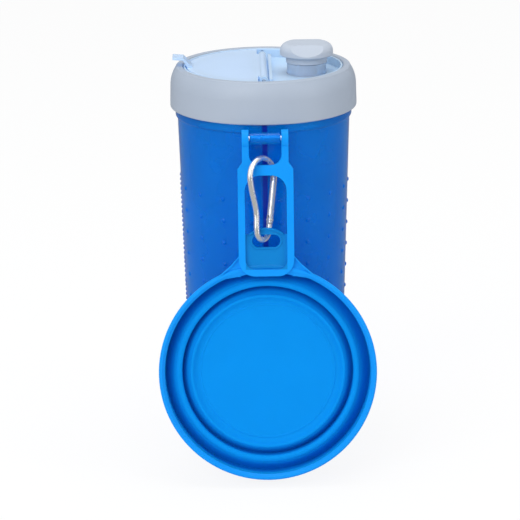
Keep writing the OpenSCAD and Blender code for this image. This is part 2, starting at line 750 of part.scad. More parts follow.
module carabiner_body() {
    blade_low = rivet_up - gate_r + gate_len - 2;
    tang_top = rivet_up + 1.3;
    color(silver) on_carabiner() union() {
        bend(big_s, big_bend_r, nose_angle, 180 + taper);
        bend(small_s, small_bend_r, 180 + taper, 360 - taper);
        on_side(-1) {
            cylinder(r = rod_r, h = side_len, $fn = 32);
            for (along = [0, side_len]) rod_joint(along);
        }
        on_side(1) {
            cylinder(r = rod_r, h = rivet_up - gate_r - 0.6, $fn = 32);
            rod_joint(0);
            difference() {
                translate([-gate_r + 0.3, -tang_t / 2, 0]) cube([2 * gate_r - 0.6, tang_t, tang_top]);
                rivet_hole(fixed_gap);
            }
            translate([-0.9, -tang_t / 2, blade_low])
                cube([1.8, tang_t, side_len + nose_len + 0.8 - blade_low]);
        }
    }
}

module rivet_hole(gap) {
    translate([0, gate_r + 1, rivet_up]) rotate([90, 0, 0])
        cylinder(r = rivet_r + gap, h = 2 * gate_r + 2, $fn = 24);
}

module carabiner_gate() {
    foot = gate_r;
    slot_t = tang_t + 0.4;
    color(silver) on_carabiner() on_side(1) difference() {
        translate([0, 0, rivet_up - foot]) cylinder(r = gate_r, h = gate_len, $fn = 32);
        translate([-gate_r - 1, -slot_t / 2, rivet_up - foot - 1])
            cube([2 * gate_r + 2, slot_t, foot + 3.2]);
        translate([-gate_r - 1, -slot_t / 2, rivet_up - foot + gate_len - 2.4])
            cube([2 * gate_r + 2, slot_t, 3]);
        translate([0, 0, rivet_up + 2]) cylinder(r = 1.05, h = 9, $fn = 32);
        rivet_hole(running_gap);
    }
}

module gate_rivet() {
    length = 2 * gate_r + 0.4;
    color(silver) on_carabiner() on_side(1) translate([0, length / 2, rivet_up]) rotate([90, 0, 0])
        cylinder(r = rivet_r, h = length, $fn = 24);
}

module gate_spring() {
    color("dimgray") on_carabiner() on_side(1) translate([0, 0, rivet_up + 2.4])
        cylinder(r = 0.95, h = 8, $fn = 24);
}

bottle_body();
lid_collar();
lid_deck();
deck_gasket();
spout_cap();
cap_seal();
flip_lid();
flip_lid_seal();
flip_hinge_pin();
cup_frame();
cup_hinge_pin();
bowl_top_band();
fold_web_outer();
fold_ring();
fold_web_inner();
bowl_base();
carabiner_body();
carabiner_gate();
gate_rivet();
gate_spring();
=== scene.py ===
"""Looks of the two-chamber travel bottle: materials, surface detail, light and camera.

Metres, in the frame of the CAD. The cup hangs in front, on -Y, and the spout is on +X.
"""

import json
import math

import bmesh
import bpy
from mathutils import Matrix, Vector


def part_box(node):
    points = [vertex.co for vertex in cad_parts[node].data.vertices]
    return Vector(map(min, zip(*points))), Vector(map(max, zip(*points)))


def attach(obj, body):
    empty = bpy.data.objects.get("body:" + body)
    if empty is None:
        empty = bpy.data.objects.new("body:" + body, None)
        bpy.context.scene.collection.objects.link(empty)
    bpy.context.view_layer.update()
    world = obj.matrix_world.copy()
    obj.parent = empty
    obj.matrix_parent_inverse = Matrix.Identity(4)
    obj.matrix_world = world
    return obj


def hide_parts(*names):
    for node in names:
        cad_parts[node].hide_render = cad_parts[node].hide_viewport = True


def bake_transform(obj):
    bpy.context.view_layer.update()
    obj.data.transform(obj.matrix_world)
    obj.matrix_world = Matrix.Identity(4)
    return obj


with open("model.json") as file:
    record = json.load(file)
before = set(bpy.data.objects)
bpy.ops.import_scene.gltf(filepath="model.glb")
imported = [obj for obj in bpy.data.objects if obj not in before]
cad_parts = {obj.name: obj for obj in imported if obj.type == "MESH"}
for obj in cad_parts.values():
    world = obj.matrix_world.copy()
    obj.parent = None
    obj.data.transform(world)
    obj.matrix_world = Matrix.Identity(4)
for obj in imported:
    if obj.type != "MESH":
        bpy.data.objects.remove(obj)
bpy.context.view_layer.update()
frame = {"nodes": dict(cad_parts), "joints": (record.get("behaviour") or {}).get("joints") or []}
nodes = frame["nodes"]
joints = {joint["name"]: joint for joint in frame["joints"]}
MM = 0.001

# Camera, as fitted to the photograph's round edges
IMAGE_PX = 520
FOCAL_PX = 2527
SENSOR_MM = 36
CAMERA_TARGET = Vector((-0.00285, 0, 0.1005))
CAMERA_DISTANCE = 1.3836
CAMERA_ELEVATION = math.radians(16.52)
CAMERA_AZIMUTH = math.radians(-0.5)
CAMERA_ROLL = math.radians(-0.68)
CAMERA_FAR_END = 50

# Nubs on the body, in rows and columns
NUB_COLUMNS = 18
NUB_ROWS = 12
NUB_PITCH = 12 * MM
NUB_FIRST_Z = 13.8 * MM
NUB_RADIUS = 1.275 * MM
NUB_HEIGHT = 0.7 * MM
NUB_SINK = 0.03 * MM

# Filling marks on the body: their angle from +X, which the nubs keep clear of, and their places and sizes
MARK_ANGLE = math.pi
MARK_CLEARANCE = math.radians(10)
MARK_COUNT = 44
MARK_FIRST_Z = 38 * MM
MARK_PITCH = 2.6 * MM
MARK_HALF = 2.6 * MM
LONG_MARK_HALF = 4.5 * MM
LONG_MARK_EVERY = 5
MARK_RADIUS = 0.45 * MM
MARK_LIFT = 0.05 * MM

# Handle of the cup. Places along it, S, are measured down from the hinge
HOLE_S = 53.5 * MM
HOLE_WIDTH = 14.6 * MM
HOLE_HEIGHT = 6.6 * MM
TONGUE_FRONT = 0.4 * MM
TONGUE_BEAD = 0.55 * MM
ARCH_TOP_S = 46.6 * MM
ARCH_DROP = 3.4 * MM
ARCH_HALF = 9.4 * MM

# The thin tongue lies back in the handle's slot, and a deeper blue is painted on it as shade, in a box: half
# its width, and its lowest and highest Z
TONGUE_SHADE_BOX = (11 * MM, 114.6 * MM, 136.6 * MM)
TONGUE_SHADE_EDGE = 0.4 * MM

# Spine of the carabiner: where its slight S begins and ends, how far it sways, and the cuts that let it bend
SPINE_START_S = 19.7 * MM
SPINE_END_S = 48.3 * MM
SPINE_SWAY = 1.8 * MM
SPINE_CUTS = 22

# The inner edge of the cup's rim lies further out than the solid's, and the face next to it is squeezed over
# the blend. The handle keeps the solid's edge, and the trim comes in beside it
RIM_TRIM = 1.3 * MM
RIM_BLEND = 3.2 * MM
HANDLE_HALF = 15.5 * MM
HANDLE_BLEND = 6 * MM

# How much wider the bowl's fold ring is than the solid
RING_GROWTH = 0.9 * MM

# Webs of the bowl
WEB_THICKNESS = 0.8 * MM
WEB_OVERLAP = 0.3 * MM
WEB_BELOW_CROWN = 1.2 * MM
WEB_STRAIGHT_SHARE = 0.55

# Spout
SPOUT_X = 23.3 * MM
SPOUT_RADIUS = 10.8 * MM

# How far the painted shade of the divider reaches on either side of the middle, and out from the axis
PARTITION_HALF = 1.4 * MM
PARTITION_REACH = 48 * MM

# Most of a noise pattern lies between these two values
NOISE_LOW = 0.35
NOISE_HIGH = 0.65

# Radius that the materials give to edges, and how far from the object's middle a ray starts
EDGE_RADIUS = 0.35 * MM
OUTSIDE = 0.2

# Colours, linear
BODY_BLUE = (0.03, 0.6, 0.97)
BODY_HAZE = (0.0005, 0.23, 0.74)
NUB_HAZE = (0.0005, 0.17, 0.62)
# Painted shade: the divider looks dark seen edge-on through the wall, and this deep blue is painted there
PARTITION_SHADE_BLUE = (0.008, 0.03, 0.4)
CUP_BLUE = (0.004, 0.28, 0.82)
# Painted shade on the cup's tongue, which lies back in the handle's slot
TONGUE_SHADE_BLUE = (0.002, 0.2, 0.56)
BOWL_BLUE = (0.002, 0.25, 0.72)
COLLAR_GREY = (0.365, 0.42, 0.505)
CAP_GREY = (0.46, 0.51, 0.59)
DECK_PALE = (0.58, 0.75, 0.92)
# Painted shade: the spout is the same plastic as the deck, and this greyer haze paints its darker look with
# no light behind it
SPOUT_SHADE_HAZE = (0.62, 0.69, 0.79)
LID_PALE = (0.58, 0.74, 0.93)
SILICONE = (0.78, 0.8, 0.8)
STEEL = (0.88, 0.88, 0.88)
SPRING_STEEL = (0.3, 0.29, 0.28)
FLOOR_PALE = (0.93, 0.93, 0.93)
FLOOR_IN_REFLECTIONS = (0.3, 0.3, 0.3)
FILL_LIGHT = (0.55, 0.56, 0.57)
WHITE = (1.0, 1.0, 1.0)

# Greys of the room in reflections, from straight down (0) through eye level (0.5) to straight up (1)
ROOM_GREYS = ((0.0, 0.3), (0.42, 0.2), (0.5, 0.12), (0.62, 0.5), (1.0, 1.0))


def smooth_step(t):
    """0 to 1 as t goes from 0 to 1, level at both ends."""
    return t * t * (3 - 2 * t)


# ---------------------------------------------------------------- materials


class Nodes:
    """A node tree, with short calls for what the materials and the world share. A value that a call takes is
    a number, a colour or another node's output."""

    # Sockets that a Mix node uses for colours
    MIX_SHARE = 0
    MIX_FIRST = 6
    MIX_SECOND = 7
    MIX_RESULT = 2

    def __init__(self, tree, output_kind):
        self.tree = tree
        self.tree.nodes.clear()
        self.output = self.node(output_kind)

    def node(self, kind, **settings):
        made = self.tree.nodes.new(kind)
        for key, value in settings.items():
            setattr(made, key, value)
        return made

    def link(self, source, target):
        self.tree.links.new(source, target)

    def fill(self, target, value):
        """Sets an input, or links it to another node's output."""
        if isinstance(value, bpy.types.NodeSocket):
            self.link(value, target)
        elif target.type == "RGBA":
            target.default_value = (*value, 1)
        else:
            target.default_value = value

    def calculate(self, operation, *values):
        made = self.node("ShaderNodeMath", operation=operation)
        for target, value in zip(made.inputs, values):
            self.fill(target, value)
        return made.outputs["Value"]

    def mix(self, share, first, second):
        """The first colour where the share is 0, and the second where it is 1."""
        made = self.node("ShaderNodeMix", data_type="RGBA")
        self.fill(made.inputs[self.MIX_SHARE], share)
        self.fill(made.inputs[self.MIX_FIRST], first)
        self.fill(made.inputs[self.MIX_SECOND], second)
        return made.outputs[self.MIX_RESULT]

    def mix_shaders(self, share, first, second):
        """The first shader where the share is 0, and the second where it is 1."""
        made = self.node("ShaderNodeMixShader")
        self.fill(made.inputs["Fac"], share)
        self.link(first, made.inputs[1])
        self.link(second, made.inputs[2])
        return made.outputs["Shader"]

    def seen(self, rays):
        """1 for what the camera sees, also through clear plastic, and 0 for other rays."""
        return self.calculate("MAXIMUM", rays.outputs["Is Camera Ray"], rays.outputs["Is Transmission Ray"])


class Shader(Nodes):
    """A material's node tree."""

    def __init__(self, name):
        self.material = bpy.data.materials.new(name)
        self.material.use_nodes = True
        super().__init__(self.material.node_tree, "ShaderNodeOutputMaterial")
        self.place = self.node("ShaderNodeTexCoord").outputs["Object"]

    def noise(self, size, detail=2):
        """A noise pattern whose features are about size metres wide."""
        made = self.node("ShaderNodeTexNoise")
        made.inputs["Scale"].default_value = 1 / size
        made.inputs["Detail"].default_value = detail
        self.link(self.place, made.inputs["Vector"])
        return made.outputs["Fac"]

    def ramp(self, value, start, end, at_start=0, at_end=1, **settings):
        """Goes from one result to another as the value goes from start to end, and is level beyond them."""
        made = self.node("ShaderNodeMapRange", **settings)
        made.inputs["From Min"].default_value = start
        made.inputs["From Max"].default_value = end
        made.inputs["To Min"].default_value = at_start
        made.inputs["To Max"].default_value = at_end
        self.link(value, made.inputs["Value"])
        return made.outputs["Result"]

    def uneven(self, size, low, high):
        """A number that varies from low to high in patches about size metres wide."""
        return self.ramp(self.noise(size), NOISE_LOW, NOISE_HIGH, low, high)

    def mottled(self, colour, amount, size):
        """The colour, a little darker and lighter in soft patches."""
        darker = tuple(c * (1 - amount) for c in colour)
        lighter = tuple(min(1, c * (1 + amount)) for c in colour)
        return self.mix(self.noise(size, detail=3), darker, lighter)

    def relief(self, grain, depth, edge=EDGE_RADIUS):
        """A normal with rounded edges and a fine moulded grain."""
        soft = self.node("ShaderNodeBevel", samples=4)
        soft.inputs["Radius"].default_value = edge
        bump = self.node("ShaderNodeBump")
        bump.inputs["Distance"].default_value = depth
        bump.inputs["Strength"].default_value = 0.5
        self.link(self.noise(grain), bump.inputs["Height"])
        self.link(soft.outputs["Normal"], bump.inputs["Normal"])
        return bump.outputs["Normal"]

    def principled(self, normal, **values):
        """A Principled shader. Each value goes by its input's name, with _ for a space."""
        made = self.node("ShaderNodeBsdfPrincipled")
        for key, value in values.items():
            self.fill(made.inputs[key.replace("_", " ")], value)
        self.link(normal, made.inputs["Normal"])
        return made.outputs["BSDF"]

    def split_place(self):
        made = self.node("ShaderNodeSeparateXYZ")
        self.link(self.place, made.inputs["Vector"])
        return made.outputs

    def partition_shade_mask(self):
        """1 where the divider meets the wall, with soft edges, and 0 elsewhere and on the lug in front. It
        places the painted shade of the divider.
        """
        place = self.split_place()
        from_middle = self.calculate("ABSOLUTE", place["X"])
        full, out = PARTITION_HALF * 0.6, PARTITION_HALF * 1.4
        near = self.ramp(from_middle, full, out, at_start=1, at_end=0, interpolation_type="SMOOTHSTEP")
        behind_lug = self.calculate("GREATER_THAN", place["Y"], -PARTITION_REACH)
        return self.calculate("MULTIPLY", near, behind_lug)

    def spout_shade_mask(self):
        """1 on the spout's foot and tube, and 0 on the rest of the deck. It places the spout's painted
        shade.
        """
        level = self.node("ShaderNodeVectorMath", operation="MULTIPLY")
        level.inputs[1].default_value = (1, 1, 0)
        self.link(self.place, level.inputs[0])
        distance = self.node("ShaderNodeVectorMath", operation="DISTANCE")
        distance.inputs[1].default_value = (SPOUT_X, 0, 0)
        self.link(level.outputs["Vector"], distance.inputs[0])
        return self.calculate("LESS_THAN", distance.outputs["Value"], SPOUT_RADIUS)

    def tongue_shade_mask(self):
        """1 on the tongue, with soft edges, and 0 on the rest of the cup. It places the tongue's painted
        shade.
        """
        half, low, high = TONGUE_SHADE_BOX
        place = self.split_place()
        from_middle = self.calculate("ABSOLUTE", place["X"])
        beside = self.ramp(from_middle, half, half - TONGUE_SHADE_EDGE)
        above = self.ramp(place["Z"], low, low + TONGUE_SHADE_EDGE)
        below = self.ramp(place["Z"], high, high - TONGUE_SHADE_EDGE)
        return self.calculate("MULTIPLY", self.calculate("MULTIPLY", beside, above), below)

    def finish(self, shader):
        self.link(shader, self.output.inputs["Surface"])
        return self.material


def moulded_plastic(
    name,
    colour,
    roughness,
    grain=0.5 * MM,
    grain_depth=0.02 * MM,
    gloss=0.3,
    glow=0.0,
    edge=EDGE_RADIUS,
    tongue_shade_colour=None,
):
    """Opaque plastic or elastomer: soft patches in its colour, uneven gloss and a fine grain. The cup's thin
    tongue, which lies back in the slot, takes a deeper blue as painted shade."""
    made = Shader(name)
    tone = made.mottled(colour, amount=0.035, size=18 * MM)
    # Painted shade on the tongue, which lies back in the slot
    if tongue_shade_colour:
        tone = made.mix(made.tongue_shade_mask(), tone, tongue_shade_colour)
    body = made.principled(
        made.relief(grain, grain_depth, edge),
        Base_Color=tone,
        Roughness=made.uneven(6 * MM, low=roughness - 0.05, high=roughness + 0.05),
        Specular_IOR_Level=gloss,
        Subsurface_Weight=glow,
        Subsurface_Radius=(0.3, 0.6, 1.0),
        Subsurface_Scale=2 * MM,
    )
    return made.finish(body)


def clear_plastic(name, tint, haze_colour, haze, roughness=0.06, patches=0.05, shade_zone=None):
    """Tinted clear plastic with some haze in it. Shadow rays pass with the tint, so that what lies inside
    is lit. A shade zone is a mask, and the colour and density of the haze painted in it as shade."""
    made = Shader(name)
    normal = made.relief(grain=2.5 * MM, depth=0.03 * MM)
    clear = made.principled(
        normal,
        Base_Color=made.mottled(tint, amount=0.03, size=25 * MM),
        Roughness=made.uneven(9 * MM, low=roughness * 0.7, high=roughness * 1.3),
        Transmission_Weight=1,
        IOR=1.3,
        Specular_IOR_Level=0.3,
    )
    haze_tone = made.mottled(haze_colour, amount=patches, size=32 * MM)
    haze_share = haze
    # Painted shade: inside the mask the haze takes another colour and density
    if shade_zone:
        shade_mask, shade_colour, shade_haze = shade_zone
        inside = shade_mask(made)
        haze_tone = made.mix(inside, haze_tone, shade_colour)
        haze_share = made.calculate("MULTIPLY_ADD", inside, shade_haze - haze, haze)
    cloudy = made.principled(
        normal, Base_Color=haze_tone, Roughness=roughness + 0.1, Specular_IOR_Level=0.15
    )
    through = made.node("ShaderNodeBsdfTransparent")
    made.fill(through.inputs["Color"], tint)
    shadow_ray = made.node("ShaderNodeLightPath").outputs["Is Shadow Ray"]
    plastic = made.mix_shaders(haze_share, clear, cloudy)
    return made.finish(made.mix_shaders(shadow_ray, plastic, through.outputs["BSDF"]))


def polished_steel(name, colour, roughness):
    """Plated steel with faint drawing marks and uneven polish."""
    made = Shader(name)
    body = made.principled(
        made.relief(grain=2 * MM, depth=0.004 * MM, edge=0.2 * MM),
        Base_Color=made.mottled(colour, amount=0.03, size=6 * MM),
        Roughness=made.uneven(4 * MM, low=roughness - 0.03, high=roughness + 0.04),
        Metallic=0.85,
    )
    return made.finish(body)


body_material = clear_plastic(
    "body_clear_blue",
    BODY_BLUE,
    BODY_HAZE,
    haze=0.4,
    patches=0.2,
    # Painted shade along the divider: a deeper blue and a denser haze
    shade_zone=(Shader.partition_shade_mask, PARTITION_SHADE_BLUE, 0.8),
)
nub_material = clear_plastic("nub_clear_blue", BODY_BLUE, NUB_HAZE, haze=0.6)
deck_material = clear_plastic(
    "deck_clear_pale",
    DECK_PALE,
    DECK_PALE,
    haze=0.8,
    roughness=0.1,
    # On the spout the haze is thinner, so more shows through, and greyer, which is painted shade
    shade_zone=(Shader.spout_shade_mask, SPOUT_SHADE_HAZE, 0.5),
)
lid_material = clear_plastic("lid_clear_pale", LID_PALE, LID_PALE, haze=0.8, roughness=0.12)
collar_material = moulded_plastic("collar_satin_grey", COLLAR_GREY, roughness=0.42)
cap_material = moulded_plastic("cap_satin_grey", CAP_GREY, roughness=0.5, gloss=0.1)
cup_material = moulded_plastic(
    # The tongue takes a deeper blue as painted shade
    "cup_bright_blue", CUP_BLUE, roughness=0.42, gloss=0.1, glow=0.1, tongue_shade_colour=TONGUE_SHADE_BLUE
)
bowl_material = moulded_plastic(
    "bowl_elastomer_blue",
    BOWL_BLUE,
    roughness=0.65,
    grain=0.8 * MM,
    grain_depth=0.03 * MM,
    gloss=0.03,
    glow=0.1,
    edge=0.6 * MM,
)
silicone_material = moulded_plastic("silicone_white", SILICONE, roughness=0.55)
steel_material = polished_steel("plated_steel", STEEL, roughness=0.24)
spring_material = polished_steel("spring_steel", SPRING_STEEL, roughness=0.35)

MATERIAL_OF = {
    "bottle_body": body_material,
    "lid_collar": collar_material,
    "lid_deck": deck_material,
    "deck_gasket": silicone_material,
    "spout_cap": cap_material,
    "cap_seal": silicone_material,
    "flip_lid": lid_material,
    "flip_lid_seal": silicone_material,
    "flip_hinge_pin": steel_material,
    "cup_frame": cup_material,
    "cup_hinge_pin": steel_material,
    "bowl_top_band": bowl_material,
    "fold_web_outer": bowl_material,
    "fold_ring": bowl_material,
    "fold_web_inner": bowl_material,
    "bowl_base": bowl_material,
    "carabiner_body": steel_material,
    "carabiner_gate": steel_material,
    "gate_rivet": steel_material,
    "gate_spring": spring_material,
}


def paint(piece, material):
    """Gives a piece its one material."""
    piece.data.materials.clear()
    piece.data.materials.append(material)


for node_name, node_material in MATERIAL_OF.items():
    paint(nodes[node_name], node_material)


# ---------------------------------------------------------------- mesh helpers


def show(name, mesh, material):
    """An object that shows a mesh, with its material."""
    piece = bpy.data.objects.new(name, mesh)
    bpy.context.scene.collection.objects.link(piece)
    paint(piece, material)
    return piece


def new_piece(name, points, faces, material, slot):
    """A smooth mesh object from points and faces."""
    mesh = bpy.data.meshes.new(name)
    mesh.from_pydata([tuple(p) for p in points], [], faces)
    mesh.validate()
    for polygon in mesh.polygons:
        polygon.use_smooth = True
    return show(name, mesh, material)


def across(axis):
    """Two directions that make a right-handed frame with an axis."""
    first = axis.orthogonal().normalized()
    return first, axis.cross(first).normalized()


def strip(here, there, count):
    """Faces between two closed rows of count points, which start at the indices here and there."""
    return [(here + k, here + (k + 1) % count, there + (k + 1) % count, there + k) for k in range(count)]


def revolve(profile, centre, axis):
    """Points and faces of a closed profile of (radius, distance along the axis), turned about the axis."""
    steps = 128
    size = len(profile)
    first, second = across(axis)
    points, faces = [], []
    for i in range(steps):
        angle = 2 * math.pi * i / steps
        outward = first * math.cos(angle) + second * math.sin(angle)
        points += [centre + outward * radius + axis * along for radius, along in profile]
        faces += strip(i * size, (i + 1) % steps * size, size)
    return points, faces


def tube(path, radius, closed=False, sides=12):
    """Points and faces of a round rod along a path, with narrower ends where it isn't closed."""
    points, faces = [], []
    count = len(path)
    side = None
    for i, here in enumerate(path):
        ahead = path[(i + 1) % count] if closed or i < count - 1 else here
        behind = path[i - 1] if closed or i > 0 else here
        along = (ahead - behind).normalized()
        side = along.orthogonal() if side is None else side - along * side.dot(along)
        side.normalize()
        other = along.cross(side)
        size = radius if closed or 0 < i < count - 1 else radius * 0.5
        for k in range(sides):
            angle = 2 * math.pi * k / sides
            points.append(here + (side * math.cos(angle) + other * math.sin(angle)) * size)
    for i in range(count if closed else count - 1):
        faces += strip(i * sides, (i + 1) % count * sides, sides)
    if not closed:
        faces.append(tuple(reversed(range(sides))))
        faces.append(tuple(range((count - 1) * sides, count * sides)))
    return points, faces


def dome(centre, outward, radius, height):
    """Points and faces of a low round dome that stands on a surface, open below."""
    sides = 12
    rings = 4
    ball = (radius * radius + height * height) / (2 * height)
    limit = math.asin(min(1, radius / ball))
    first, second = across(outward)
    points = [centre + outward * height]
    for ring in range(1, rings + 1):
        tilt = limit * ring / rings
        out = ball * math.sin(tilt)
        up = ball * (math.cos(tilt) - 1) + height
        for k in range(sides):
            angle = 2 * math.pi * k / sides
            points.append(centre + (first * math.cos(angle) + second * math.sin(angle)) * out + outward * up)
    faces = [(0, 1 + k, 1 + (k + 1) % sides) for k in range(sides)]
    for ring in range(rings - 1):
        here = 1 + ring * sides
        faces += strip(here + sides, here, sides)
    return points, faces


def gather(shapes):
    """Joins several (points, faces) into one."""
    points, faces = [], []
    for some_points, some_faces in shapes:
        start = len(points)
        points += some_points
        faces += [tuple(start + i for i in face) for face in some_faces]
    return points, faces


# ---------------------------------------------------------------- body


def on_wall(angle, z):
    """The point where the body's outer wall lies at an angle from +X and a height, and the way out there. A
    ray that slips through the seam between two faces is cast again a hair beside it."""
    hair = 0.0001
    for aside in (0, hair, -hair):
        outward = Vector((math.cos(angle + aside), math.sin(angle + aside), 0))
        start = outward * OUTSIDE + Vector((0, 0, z))
        found, point, _, _ = nodes["bottle_body"].ray_cast(start, -outward)
        if found:
            return point, outward
    raise ValueError(f"no wall at height {z}")


def make_nubs():
    """Rows of low round nubs for grip, left out where the filling marks run."""
    shapes = []
    for row in range(NUB_ROWS):
        for column in range(NUB_COLUMNS):
            angle = 2 * math.pi * (column + 0.5) / NUB_COLUMNS - math.pi / 2
            if abs(angle - MARK_ANGLE) < MARK_CLEARANCE:
                continue
            point, outward = on_wall(angle, NUB_FIRST_Z + row * NUB_PITCH)
            shapes.append(dome(point - outward * NUB_SINK, outward, NUB_RADIUS, NUB_HEIGHT))
    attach(new_piece("body_nubs", *gather(shapes), nub_material, "body"), "bottle")


def make_filling_marks():
    """Raised filling marks up the snack side, every few of them longer."""
    steps = 6
    shapes = []
    for i in range(MARK_COUNT):
        half = LONG_MARK_HALF if i % LONG_MARK_EVERY == 0 else MARK_HALF
        z = MARK_FIRST_Z + i * MARK_PITCH
        middle, _ = on_wall(MARK_ANGLE, z)
        half_angle = half / middle.xy.length
        path = []
        for k in range(steps + 1):
            wall, outward = on_wall(MARK_ANGLE + half_angle * (2 * k / steps - 1), z)
            path.append(wall + outward * MARK_LIFT)
        shapes.append(tube(path, MARK_RADIUS, sides=8))
    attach(new_piece("body_filling_marks", *gather(shapes), body_material, "body"), "bottle")


make_nubs()
make_filling_marks()

# ---------------------------------------------------------------- folding bowl

bowl_axis = Vector(joints["ring_slide"]["axis"]).normalized()
bowl_centre = sum(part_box("bowl_top_band"), Vector()) / 2


def ring_extent(node):
    """Least and largest radius, and least and largest depth, of a node of the bowl."""
    radii, depths = [], []
    for vertex in nodes[node].data.vertices:
        offset = vertex.co - bowl_centre
        depth = offset.dot(bowl_axis)
        depths.append(depth)
        radii.append((offset - bowl_axis * depth).length)
    return min(radii), max(radii), min(depths), max(depths)


def make_web(name, node, outer_inside, inner_outside, outer_node, inner_node):
    """A thin folding web from the foot of one band, at its inside, up to the crown of the next, at its
    outside."""
    steps = 16
    foot = ring_extent(outer_node)[3]
    crown = ring_extent(inner_node)[2]
    start_radius, end_radius = outer_inside + WEB_OVERLAP, inner_outside - WEB_OVERLAP
    start_depth, end_depth = foot - WEB_OVERLAP, crown + WEB_BELOW_CROWN
    front, back = [], []
    for i in range(steps + 1):
        t = i / steps
        radius = start_radius + (end_radius - start_radius) * t
        fallen = WEB_STRAIGHT_SHARE * t + (1 - WEB_STRAIGHT_SHARE) * smooth_step(t)
        depth = start_depth + (end_depth - start_depth) * fallen
        front.append((radius, depth - WEB_THICKNESS / 2))
        back.append((radius, depth + WEB_THICKNESS / 2))
    web = new_piece(name, *revolve(front + back[::-1], bowl_centre, bowl_axis), bowl_material, "bowl")
    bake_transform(web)
    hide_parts(node)


def make_top_band():
    """The bowl's top band: a thin lip inside the rim, and a full wall behind it. Gives its inner radius."""
    _, solid_seat, top, foot = ring_extent("bowl_top_band")
    lip = 0.12 * MM
    wall = 1.1 * MM
    edge = 0.1 * MM
    rim_depth = 3.3 * MM
    seat = solid_seat + RIM_TRIM
    inside = seat - lip
    outside = inside + wall
    behind_rim = top + rim_depth
    profile = [(inside, top), (inside, top + edge), (inside, foot - edge), (inside, foot)]
    profile += [(inside + edge, foot), (outside - edge, foot), (outside, foot - edge)]
    profile += [(outside, behind_rim + edge), (outside - edge, behind_rim)]
    profile += [(seat + edge, behind_rim), (seat, behind_rim - edge), (seat, top)]
    band = new_piece("bowl_band_surface", *revolve(profile, bowl_centre, bowl_axis), bowl_material, "bowl")
    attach(band, "cup")
    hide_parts("bowl_top_band")
    return inside


def make_ring():
    """The bowl's fold ring, with a round crown. Gives its inner and outer radius."""
    steps = 16
    inside, solid_outside, crown, foot = ring_extent("fold_ring")
    outside = solid_outside + RING_GROWTH
    half = (outside - inside) / 2
    crown_height = 0.8 * half
    profile = [(inside, foot)]
    for i in range(steps + 1):
        angle = math.pi * (1 - i / steps)
        radius = inside + half + half * math.cos(angle)
        profile.append((radius, crown + crown_height * (1 - math.sin(angle))))
    profile.append((outside, foot))
    ring = new_piece("bowl_ring_surface", *revolve(profile, bowl_centre, bowl_axis), bowl_material, "bowl")
    ring.data.set_sharp_from_angle(angle=math.radians(60))
    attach(ring, "ring")
    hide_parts("fold_ring")
    return inside, outside


def base_depth(side):
    """How deep the bowl's base lies near its middle, seen from the front (-1) or from behind (1)."""
    off_centre = across(bowl_axis)[0] * 1.7 * MM
    start = bowl_centre + off_centre + bowl_axis * side * OUTSIDE
    found, point, _, _ = nodes["bowl_base"].ray_cast(start, -bowl_axis * side)
    if not found:
        raise ValueError("the bowl's base isn't where its axis passes")
    return (point - bowl_centre).dot(bowl_axis)


def make_base():
    """The bowl's base with a round ridge, a soft slope and a fine bead where the slope meets the flat
    disc."""
    slope_steps = 40
    ridge_steps = 12
    ridge = 1.1 * MM
    lean = math.radians(50)
    bead_height = 0.28 * MM
    bead_half = 0.6 * MM
    before_slope = 2 * MM
    foot_step = 1 * MM
    edge = 0.2 * MM
    pin = 0.02 * MM
    near_pin = 0.4 * MM
    _, outside, crown, foot = ring_extent("bowl_base")
    floor, under = base_depth(-1), base_depth(1)
    slope_out = outside - ridge * (1 + math.sin(lean))
    slope_top = crown + ridge * (1 - math.cos(lean))
    slope_width = 2 * (floor - slope_top) / math.tan(lean)
    disc = slope_out - slope_width
    start = disc - before_slope
    profile = [(pin, floor), (near_pin, floor), (0.5 * disc, floor)]
    for i in range(slope_steps + 1):
        radius = start + (slope_out - start) * i / slope_steps
        rise = max(0, (radius - disc) / slope_width) ** 2
        bead = bead_height * max(0, 1 - ((radius - disc) / bead_half) ** 2)
        profile.append((radius, floor - (floor - slope_top) * rise - bead))
    for i in range(1, ridge_steps + 1):
        angle = (math.pi / 2 + lean) * (1 - i / ridge_steps)
        profile.append((outside - ridge + ridge * math.cos(angle), crown + ridge * (1 - math.sin(angle))))
    profile += [(outside, foot - edge), (outside, foot), (outside - edge, foot)]
    profile += [(disc + foot_step + edge, foot), (disc + foot_step, foot), (disc + edge, under + edge)]
    profile += [(disc, under), (disc - edge, under), (near_pin, under), (pin, under)]
    base = new_piece("bowl_base_surface", *revolve(profile, bowl_centre, bowl_axis), bowl_material, "bowl")
    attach(base, "base")
    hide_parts("bowl_base")
    mark = dome(bowl_centre + bowl_axis * floor, -bowl_axis, radius=0.8 * MM, height=0.12 * MM)
    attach(new_piece("bowl_gate_mark", *mark, bowl_material, "bowl"), "base")


def make_cup():
    """The cup's rim, fork and handle. The inner edge of the rim's face is moved out, except near the
    handle."""
    tolerance = 0.2 * MM
    seat = ring_extent("bowl_top_band")[1]
    mesh = nodes["cup_frame"].data.copy()
    for vertex in mesh.vertices:
        offset = vertex.co - bowl_centre
        outward = offset - bowl_axis * offset.dot(bowl_axis)
        beyond_seat = outward.length - seat
        beside_handle = 1 if outward.z < 0 else (abs(outward.x) - HANDLE_HALF) / HANDLE_BLEND
        share = smooth_step(min(1, max(0, beside_handle))) * min(1, 1 - beyond_seat / RIM_BLEND)
        if -tolerance < beyond_seat < RIM_BLEND:
            vertex.co += outward.normalized() * RIM_TRIM * share
    cup = show("cup_surface", mesh, cup_material)
    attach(cup, "cup")
    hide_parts("cup_frame")


